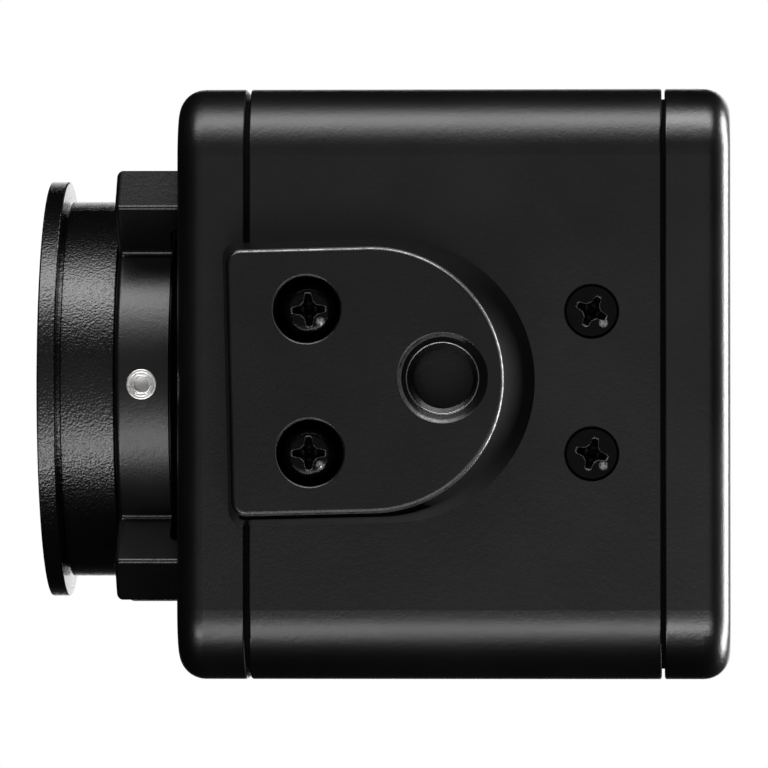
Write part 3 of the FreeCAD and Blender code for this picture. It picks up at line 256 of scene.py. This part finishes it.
def painted(name, roughness=PAINT_ROUGHNESS, grain=PAINT_GRAIN, specular=0.5):
    """Matt black paint over metal, with a fine even grain."""
    made = Surface(name, PAINT, roughness, specular=specular)
    fine = made.noise(grain, 3.0)
    coarse = made.noise(3 * grain)
    cloud = made.noise(PAINT_CLOUD)
    made.tint(cloud, scaled(PAINT, 0.8), scaled(PAINT, 1.2))
    made.rough(cloud, roughness - 0.02, roughness + 0.02)
    made.bump((coarse, PAINT_GRAIN_HEIGHT), (fine, PAINT_GRAIN_HEIGHT))
    return made


def lens_mount_paint():
    """The body's paint, with painted shade in the relief behind the block, where its shine is taken
    away.
    """
    made = painted("lens mount paint")
    plate_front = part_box("front_plate")[0].y
    behind = made.rise(made.along("Y"), *[plate_front - depth for depth in RELIEF_DEPTH])
    close = made.fade(made.round_axis(mounts["lens_thread"]["pos_m"][2]), *RELIEF_R)
    # painted shade: no shine in the relief behind the block
    made.dull(made.every(behind, close))
    return made.material


def adapter_paint():
    """Paint worn through along the face's edges, with painted shade in the screws' counterbores and on
    the low flank facing -X, where the shine is taken away.
    """
    made = painted("adapter paint", grain=ADAPTER_GRAIN, specular=0.42)
    z = made.along("Z")
    edge = made.every(made.rise(z, *WORN_EDGE_FROM), made.fade(z, *WORN_EDGE_TO))
    patches = made.spread(made.noise(0.6 * MM, 3.0), 0.6, 1.0, 0.35, 0.6)
    rubbed = made.every(patches, made.fade(made.facing((0, -1, 0)), 0.1, 0.4))
    made.wear(made.every(edge, rubbed), WORN_ALUMINIUM)
    # painted shade from here on: no shine in the counterbores, nor on the low flank facing -X
    deep = made.rise(z, *BELOW_FACE)
    middles = [(low + high) / 2 for low, high in screw_boxes("adapter_screws")]
    near = made.either(*[made.fade(made.beside(m.x, m.y), *COUNTERBORE_R) for m in middles])
    flank = made.every(made.rise(made.facing((-1, 0, 0)), 0.6, 0.9), made.fade(z, *SHADED_FLANK_TO), deep)
    made.dull(made.either(made.every(deep, near), flank))
    return made.material


# ---------------------------------------------------------------- other materials
LIP_DEPTH = (0.08 * MM, 0.2 * MM)        # above a screw head's face
RECESS_MOUTH_R = (1.58 * MM, 1.66 * MM)
# painted sheen: a spot rubbed bright beside each recess, on the same side of every head
RUBBED_SHEEN_AT = 1.0 * MM                     # rubbed spot beside the recess, towards -X and +Y
RUBBED_SHEEN_R = (0.05 * MM, 0.42 * MM)


def cap_plastic():
    made = Surface("cap plastic", PAINT, 0.22, specular=0.6)
    grain = made.noise(0.2 * MM, 2.5)
    fine = made.noise(0.12 * MM)
    made.rough(fine, 0.18, 0.28)
    made.bump((made.cells(0.2 * MM), 0.028 * MM), (grain, 0.02 * MM), (fine, 0.012 * MM))
    return made.material


def rubber():
    made = Surface("gasket rubber", (0.003, 0.003, 0.003), 0.8, specular=0.1)
    made.bump((made.noise(0.1 * MM), 0.01 * MM))
    return made.material


def black_steel(heads=()):
    """Black finished steel, glossy, with the finish rubbed off the slopes of the recesses.

    Each head is its two box corners: the rubbed places then keep to the mouth of its recess and
    to a spot beside it, and are brighter; the spot is a painted sheen, on the same side of
    every head.
    """
    made = Surface("black finished steel", (0.0015, 0.0015, 0.0016), 0.16, specular=0.16)
    fine = made.noise(0.12 * MM, 3.0)
    made.tint(made.noise(1 * MM), (0.0012, 0.0012, 0.0013), (0.002, 0.002, 0.0021))
    made.rough(fine, 0.1, 0.2)
    slope = made.fade(made.facing((0, 0, -1)), 0.75, 0.95)
    if heads:
        marks = []
        for low, high in heads:
            x, y = (low.x + high.x) / 2, (low.y + high.y) / 2
            lip = made.fade(made.along("Z"), *[low.z + depth for depth in LIP_DEPTH])
            marks.append(made.every(slope, lip, made.fade(made.beside(x, y), *RECESS_MOUTH_R)))
            # painted sheen: a bright rubbed spot beside the recess, towards -X and +Y
            spot = made.spread(made.beside(x - RUBBED_SHEEN_AT, y + RUBBED_SHEEN_AT), 0.9, 0.0, *RUBBED_SHEEN_R)
            marks.append(made.every(spot, lip))
        patches = made.spread(made.noise(0.16 * MM), 0.12, 1.0, 0.4, 0.6)
        made.wear(made.every(made.either(*marks), patches), (0.62, 0.61, 0.6))
    else:
        patches = made.rise(made.noise(0.25 * MM), 0.4, 0.6)
        made.wear(made.every(slope, patches), (0.22, 0.216, 0.212))
    made.bump((made.noise(0.3 * MM), 0.03 * MM), (fine, 0.006 * MM))
    return made.material


def anodised():
    made = Surface("black anodised aluminium", (0.02, 0.02, 0.021), 0.4, metallic=0.4)
    fine = made.noise(0.08 * MM)
    made.rough(fine, 0.34, 0.46)
    made.bump((fine, 0.004 * MM))
    return made.material


def metal(name, color, roughness, streak=(1.0, 1.0, 1.0)):
    """Bright metal with fine turning or brushing marks."""
    made = Surface(name, color, roughness, metallic=1.0)
    marks = made.noise(0.25 * MM, 3.0, stretch=streak)
    made.tint(made.noise(3 * MM), scaled(color, 0.9), color)
    made.rough(marks, roughness * 0.7, roughness * 1.3)
    made.bump((marks, 0.003 * MM))
    return made.material


def glass(name, color, roughness):
    made = Surface(name, color, roughness)
    made.set("Transmission Weight", 1.0)
    made.set("IOR", 1.52)
    made.tint(made.noise(6 * MM), scaled(color, 0.97), color)
    return made.material


def plastic(name, color, roughness, grain=0.1 * MM, height=0.006 * MM):
    made = Surface(name, color, roughness)
    fine = made.noise(grain)
    made.tint(made.noise(4 * MM), scaled(color, 0.9), scaled(color, 1.1))
    made.rough(fine, roughness - 0.05, roughness + 0.05)
    made.bump((fine, height))
    return made.material


def solder_mask():
    made = Surface("solder mask", (0.01, 0.09, 0.035), 0.35)
    weave = made.noise(0.5 * MM)
    made.tint(weave, (0.008, 0.075, 0.03), (0.014, 0.11, 0.045))
    made.rough(weave, 0.3, 0.42)
    made.bump((weave, 0.01 * MM))
    return made.material


def silicon():
    made = Surface("silicon", (0.1, 0.08, 0.16), 0.15, metallic=0.7)
    made.tint(made.noise(5 * MM), (0.09, 0.07, 0.15), (0.13, 0.1, 0.2))
    made.bump((made.noise(0.05 * MM), 0.001 * MM))
    return made.material


def frosted():
    made = Surface("light pipe", (0.75, 0.78, 0.76), 0.3)
    made.set("Transmission Weight", 0.5)
    made.tint(made.noise(1 * MM), (0.7, 0.73, 0.71), (0.8, 0.82, 0.8))
    made.bump((made.noise(0.08 * MM), 0.003 * MM))
    return made.material


surfaces = {
    "body_black": painted("body paint").material,
    "adapter_black": adapter_paint(),
    "cap_plastic": cap_plastic(),
    "gasket_rubber": rubber(),
    "black_screw": black_steel(),
    "anodised_ring": anodised(),
    "bright_steel": metal("bright steel", (0.8, 0.79, 0.78), 0.4, (1.0, 1.0, 4.0)),
    "bare_aluminium": metal("milled aluminium", (0.75, 0.75, 0.76), 0.35, (1.0, 6.0, 1.0)),
    "filter_glass": glass("filter glass", (0.75, 0.9, 0.86), 0.02),
    "sensor_cover_glass": glass("cover glass", (0.95, 0.96, 0.97), 0.01),
    "ceramic": plastic("ceramic", (0.09, 0.09, 0.1), 0.5),
    "silicon": silicon(),
    "circuit_board": solder_mask(),
    "chip_black": plastic("chip", (0.015, 0.015, 0.016), 0.55, 0.06 * MM),
    "thermal_pad": plastic("thermal pad", (0.35, 0.4, 0.5), 0.8, 0.2 * MM, 0.02 * MM),
    "connector_plastic": plastic("connector plastic", (0.014, 0.014, 0.015), 0.4),
    "plated_shell": metal("nickel plate", (0.6, 0.58, 0.54), 0.22, (1.0, 5.0, 1.0)),
    "gold_contact": metal("gold plate", (0.83, 0.6, 0.25), 0.2, (1.0, 3.0, 1.0)),
    "light_pipe": frosted(),
}
worn_edge = metal("worn edge", (0.2, 0.196, 0.19), 0.26)
for part in frame["record"]["subparts"]:
    mesh = nodes[part["node"]].data
    mesh.materials.clear()
    mesh.materials.append(surfaces[part["material_slot"]])
nodes["rear_plate"].data.materials[0] = painted("rear plate paint", 0.28, specular=0.66).material
nodes["lens_mount"].data.materials[0] = lens_mount_paint()
for part in ("adapter_screws", "plug_screws"):
    nodes[part].data.materials[0] = black_steel(screw_boxes(part))


# ---------------------------------------------------------------- screw threads and worn rims
SHARP_ANGLE = math.radians(35.0)
THREAD_STEPS = 72            # in one turn
THREAD_BASE = 0.42           # half width of a ridge at the wall, as a share of the pitch
THREAD_CREST = 0.07          # the same at its crest
RUNOUT_TURNS = 0.3           # at each end, where the ridge sinks into the wall
RUNOUT_LEAST = (0.02, 0.15)  # shares of its depth and of its width left at the very end
COLLAR_STEPS = 96
BEAD_STEPS = 16


def add_piece(name, mesh, material, body):
    """Turns a closed bmesh into a piece that rides on the body."""
    bmesh.ops.recalc_face_normals(mesh, faces=mesh.faces[:])
    data = bpy.data.meshes.new(name)
    mesh.to_mesh(data)
    mesh.free()
    for polygon in data.polygons:
        polygon.use_smooth = True
    data.set_sharp_from_angle(angle=SHARP_ANGLE)
    data.materials.append(material)
    piece = bpy.data.objects.new(name, data)
    scene.collection.objects.link(piece)
    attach(piece, body)


def thread(name, start, direction, major, minor, pitch, length, body, slot):
    """A helical ridge on a hole's wall: closed, with its ends run out into the wall."""
    steps = int(length / pitch * THREAD_STEPS)
    runout_steps = RUNOUT_TURNS * THREAD_STEPS
    least_depth, least_width = RUNOUT_LEAST
    frame_z = Vector(direction).normalized()
    frame_x = frame_z.orthogonal().normalized()
    frame_y = frame_z.cross(frame_x)
    mesh = bmesh.new()
    rings = []
    for step in range(steps + 1):
        angle = 2 * math.pi * step / THREAD_STEPS
        along = length * step / steps
        runout = min(1.0, step / runout_steps, (steps - step) / runout_steps)
        crest_r = major - (major - minor) * max(runout, least_depth)
        half_base = THREAD_BASE * pitch * max(runout, least_width)
        half_crest = THREAD_CREST * pitch * max(runout, least_width)
        out = frame_x * math.cos(angle) + frame_y * math.sin(angle)
        outline = [(major, -half_base), (crest_r, -half_crest), (crest_r, half_crest),
                   (major, half_base)]
        rings.append([mesh.verts.new(Vector(start) + out * r + frame_z * (along + a))
                      for r, a in outline])
    for one, two in zip(rings, rings[1:]):
        for k in range(4):
            mesh.faces.new((one[k], one[(k + 1) % 4], two[(k + 1) % 4], two[k]))
    mesh.faces.new(list(reversed(rings[0])))
    mesh.faces.new(rings[-1])
    add_piece(name, mesh, surfaces[slot], body)


def bead(radius, half_width, half_height):
    """The outline of a round bead at that radius."""
    turns = [2 * math.pi * k / BEAD_STEPS for k in range(BEAD_STEPS)]
    return [(radius + half_width * math.cos(a), half_height * math.sin(a)) for a in turns]


def collar(name, middle, outline, material, sides=COLLAR_STEPS, start=0.0):
    """A closed ring about an upright line, from an outline of (radius, height) points."""
    mesh = bmesh.new()
    rings = []
    for step in range(sides):
        angle = start + 2 * math.pi * step / sides
        out = Vector((math.cos(angle), math.sin(angle), 0.0))
        rings.append([mesh.verts.new(Vector(middle) + out * r + Vector((0, 0, h)))
                      for r, h in outline])
    for one, two in zip(rings, rings[1:] + rings[:1]):
        for k in range(len(outline)):
            after = (k + 1) % len(outline)
            mesh.faces.new((one[k], one[after], two[after], two[k]))
    add_piece(name, mesh, material, "camera_body")


TRIPOD_PITCH = 1.27 * MM         # 1/4-20
TRIPOD_START = 1.15 * MM         # from the adapter's outer face
TRIPOD_LENGTH = 4.4 * MM
TRIPOD_DEPTH = 0.6 * MM
TRIPOD_LIP_BEFORE = 0.28 * MM    # worn lip, in front of the thread's start
TRIPOD_LIP_INSIDE = 0.1 * MM     # from the thread's outside
TRIPOD_LIP_HALF = 0.14 * MM
LENS_PITCH = 25.4 / 32 * MM      # 1-32
LENS_START = 2.1 * MM            # behind the ring's front end
LENS_LENGTH = 2.6 * MM
LENS_DEPTH = 0.44 * MM
LOCK_PITCH = 0.4 * MM            # M2
LOCK_START = 3.7 * MM            # in front of the rear face
LOCK_LENGTH = 3.3 * MM
LOCK_R = 0.99 * MM
LOCK_MINOR_R = 0.8 * MM
SUNK = 0.01 * MM                 # a ridge's base stands this far inside its hole's radius
SCREW_RIM = (1.16 * MM, 0.16 * MM, 0.06 * MM)        # radius, half width, half height
SOCKET_EDGE = (0.87 * MM, 0.1 * MM, 0.07 * MM)

tripod = mounts["tripod_thread"]
tripod_r = tripod["dims"]["r_mm"] * MM
tripod_at = Vector((tripod["pos_m"][0], tripod["pos_m"][1],
                    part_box("tripod_adapter")[0].z + TRIPOD_START))
collar("tripod_thread_lip", tripod_at - Vector((0, 0, TRIPOD_LIP_BEFORE)),
       bead(tripod_r - TRIPOD_LIP_INSIDE, TRIPOD_LIP_HALF, TRIPOD_LIP_HALF),
       worn_edge)
thread("tripod_thread_ridge", tripod_at, (0, 0, 1), tripod_r - SUNK, tripod_r - TRIPOD_DEPTH,
       TRIPOD_PITCH, TRIPOD_LENGTH, "camera_body", "adapter_black")

screw_low, screw_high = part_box("ring_set_screws")
for end, z in (("lower", screw_low.z), ("upper", screw_high.z)):
    at = Vector((0, (screw_low.y + screw_high.y) / 2, z))
    collar(f"set_screw_rim_{end}", at, bead(*SCREW_RIM), surfaces["bright_steel"])
    collar(f"set_screw_socket_edge_{end}", at, bead(*SOCKET_EDGE), surfaces["bright_steel"],
           sides=6, start=math.radians(30))

lens = mounts["lens_thread"]
lens_r = lens["dims"]["r_mm"] * MM
lens_at = Vector((0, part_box("back_focus_ring")[0].y + LENS_START, lens["pos_m"][2]))
thread("lens_thread_ridge", lens_at, (0, 1, 0), lens_r - SUNK, lens_r - LENS_DEPTH,
       LENS_PITCH, LENS_LENGTH, "back_focus_ring", "anodised_ring")

rear_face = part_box("rear_plate")[1].y
locks = mounts["network_lock_holes"]
for number, side in ((1, -1), (2, 1)):
    at = Vector((side * locks["dims"]["spacing_x_mm"] / 2 * MM, rear_face - LOCK_START,
                 locks["pos_m"][2]))
    thread(f"lock_thread_ridge_{number}", at, (0, 1, 0), LOCK_R, LOCK_MINOR_R,
           LOCK_PITCH, LOCK_LENGTH, "camera_body", "body_black")


# ---------------------------------------------------------------- floor
FLOOR_HALF = 1.5
FLOOR_BELOW = 0.02 * MM          # so that it doesn't touch the adapter's face
FLOOR_COLOR = (0.86, 0.86, 0.86, 1.0)


def add_floor():
    """A pale floor that is seen, and shaded, from above only."""
    data = bpy.data.meshes.new("floor")
    corners = [(-1, -1), (1, -1), (1, 1), (-1, 1)]
    data.from_pydata([(x * FLOOR_HALF, y * FLOOR_HALF, -FLOOR_BELOW) for x, y in corners], [],
                     [(0, 1, 2, 3)])
    floor = bpy.data.objects.new("floor", data)
    scene.collection.objects.link(floor)
    material = bpy.data.materials.new("floor")
    material.use_nodes = True
    tree = material.node_tree
    shader = tree.nodes["Principled BSDF"]
    shader.inputs["Base Color"].default_value = FLOOR_COLOR
    shader.inputs["Roughness"].default_value = 0.9
    shader.inputs["Specular IOR Level"].default_value = 0.1
    clear = tree.nodes.new("ShaderNodeBsdfTransparent")
    mix = tree.nodes.new("ShaderNodeMixShader")
    facing = tree.nodes.new("ShaderNodeNewGeometry")
    tree.links.new(facing.outputs["Backfacing"], mix.inputs["Fac"])
    tree.links.new(shader.outputs["BSDF"], mix.inputs[1])
    tree.links.new(clear.outputs["BSDF"], mix.inputs[2])
    tree.links.new(mix.outputs["Shader"], tree.nodes["Material Output"].inputs["Surface"])
    data.materials.append(material)
    floor.visible_shadow = False
    floor.visible_glossy = False
    floor.visible_diffuse = False


add_floor()


# ---------------------------------------------------------------- light
STRIP_DISTANCE = 0.6
STRIP_END = 0.35
STRIP_BREAK = -0.055             # strips change here, between the lens end and the body
WHOLE = (-STRIP_END, STRIP_END)
BODY_PART = (STRIP_BREAK, STRIP_END)
LENS_PART = (-STRIP_END, STRIP_BREAK)
STRIPS = (                       # name, angles, radiance, extent along Y
    ("right_strip_wide", 36, 86, 0.9, WHOLE),
    ("right_strip_middle", 48, 80, 2.5, BODY_PART),
    ("right_strip_core", 57, 73, 4.6, BODY_PART),
    ("right_front_strip_middle", 42, 76, 2.2, LENS_PART),
    ("right_front_strip_core", 51, 66, 5.5, LENS_PART),
    ("left_strip_wide", -38, -14, 1.7, BODY_PART),
    ("left_strip_middle", -37, -23, 2.8, BODY_PART),
    ("left_strip_core", -36, -29, 3.6, BODY_PART),
    ("left_front_strip_middle", -47, -26, 3.0, LENS_PART),
    ("left_front_strip_core", -49, -40, 7.6, LENS_PART),
    ("camera_side_fill", -18, 18, 0.24, WHOLE),
)


def add_lamp(name, towards, distance, width, length, radiance):
    """A soft box that faces the object's middle from that direction; its length runs along Y."""
    data = bpy.data.lights.new(name, "AREA")
    data.shape = "RECTANGLE"
    data.size = width
    data.size_y = length
    data.energy = radiance * math.pi * width * length
    lamp = bpy.data.objects.new(name, data)
    scene.collection.objects.link(lamp)
    back = Vector(towards).normalized()
    side = Vector((0, 1, 0)).cross(back).normalized()
    up = back.cross(side)
    middle = (cad_box[0] + cad_box[1]) / 2
    turn = Matrix((side, up, back)).transposed().to_4x4()
    lamp.matrix_world = Matrix.Translation(middle + back * distance) @ turn
    lamp.visible_camera = False
    return lamp


def add_strip(name, start, end, radiance, extent):
    """A soft box along Y below the object, between two angles from straight down towards +X."""
    across = math.radians((start + end) / 2)
    towards = (math.sin(across), 0.0, -math.cos(across))
    width = 2 * STRIP_DISTANCE * math.tan(math.radians(end - start) / 2)
    y_start, y_end = extent
    lamp = add_lamp(name, towards, STRIP_DISTANCE, width, y_end - y_start, radiance)
    lamp.location.y += (y_start + y_end) / 2


for strip in STRIPS:
    add_strip(*strip)
add_lamp("rear_soft_box", (0.0, 0.946, 0.326), 0.6, 0.8, 0.3, 17.0)
add_lamp("top_soft_box", (0.1, 0.15, 1.0), 0.8, 0.5, 0.5, 1.8)


SKY_FROM = 0.9                   # height of the paler sky, where straight up is 1
ROOM_STRENGTH = 0.004
SKY_STRENGTH = 0.15


def add_world():
    """White to the camera and through glass; a dark room with a paler sky for the rest."""
    world = bpy.data.worlds.new("studio")
    scene.world = world
    world.use_nodes = True
    tree = world.node_tree
    tree.nodes.clear()
    output = tree.nodes.new("ShaderNodeOutputWorld")
    white = tree.nodes.new("ShaderNodeBackground")
    white.inputs["Color"].default_value = (1, 1, 1, 1)
    white.inputs["Strength"].default_value = 1.0
    room = tree.nodes.new("ShaderNodeBackground")
    room.inputs["Color"].default_value = (1, 1, 1, 1)
    place = tree.nodes.new("ShaderNodeTexCoord")
    split = tree.nodes.new("ShaderNodeSeparateXYZ")
    ramp = tree.nodes.new("ShaderNodeMapRange")
    ramp.interpolation_type = "SMOOTHSTEP"
    ramp.inputs["From Min"].default_value = SKY_FROM
    ramp.inputs["From Max"].default_value = 1.0
    ramp.inputs["To Min"].default_value = ROOM_STRENGTH
    ramp.inputs["To Max"].default_value = SKY_STRENGTH
    tree.links.new(place.outputs["Generated"], split.inputs["Vector"])
    tree.links.new(split.outputs["Z"], ramp.inputs["Value"])
    tree.links.new(ramp.outputs["Result"], room.inputs["Strength"])
    path = tree.nodes.new("ShaderNodeLightPath")
    either = tree.nodes.new("ShaderNodeMath")
    either.operation = "MAXIMUM"
    tree.links.new(path.outputs["Is Camera Ray"], either.inputs[0])
    tree.links.new(path.outputs["Is Transmission Ray"], either.inputs[1])
    mix = tree.nodes.new("ShaderNodeMixShader")
    tree.links.new(either.outputs["Value"], mix.inputs["Fac"])
    tree.links.new(room.outputs["Background"], mix.inputs[1])
    tree.links.new(white.outputs["Background"], mix.inputs[2])
    tree.links.new(mix.outputs["Shader"], output.inputs["Surface"])


add_world()


# ---------------------------------------------------------------- camera
CAMERA_AT = Vector((-13.3, 18.7, -637.7)) * MM
CAMERA_TARGET = Vector((0.4, -6.1, 31.3)) * MM
CAMERA_UP = Vector((1, 0, 0))
CAMERA_LENS = 352.7              # mm, on a sensor 36 mm wide


def add_camera():
    data = bpy.data.cameras.new("camera")
    data.lens = CAMERA_LENS
    data.sensor_width = 36.0
    data.clip_start, data.clip_end = 0.01, 10.0
    camera = bpy.data.objects.new("camera", data)
    scene.collection.objects.link(camera)
    forward = (CAMERA_TARGET - CAMERA_AT).normalized()
    right = forward.cross(CAMERA_UP).normalized()
    true_up = right.cross(forward)
    turn = Matrix((right, true_up, -forward)).transposed().to_4x4()
    camera.matrix_world = Matrix.Translation(CAMERA_AT) @ turn
    scene.camera = camera


add_camera()

scene.view_settings.view_transform = "Standard"
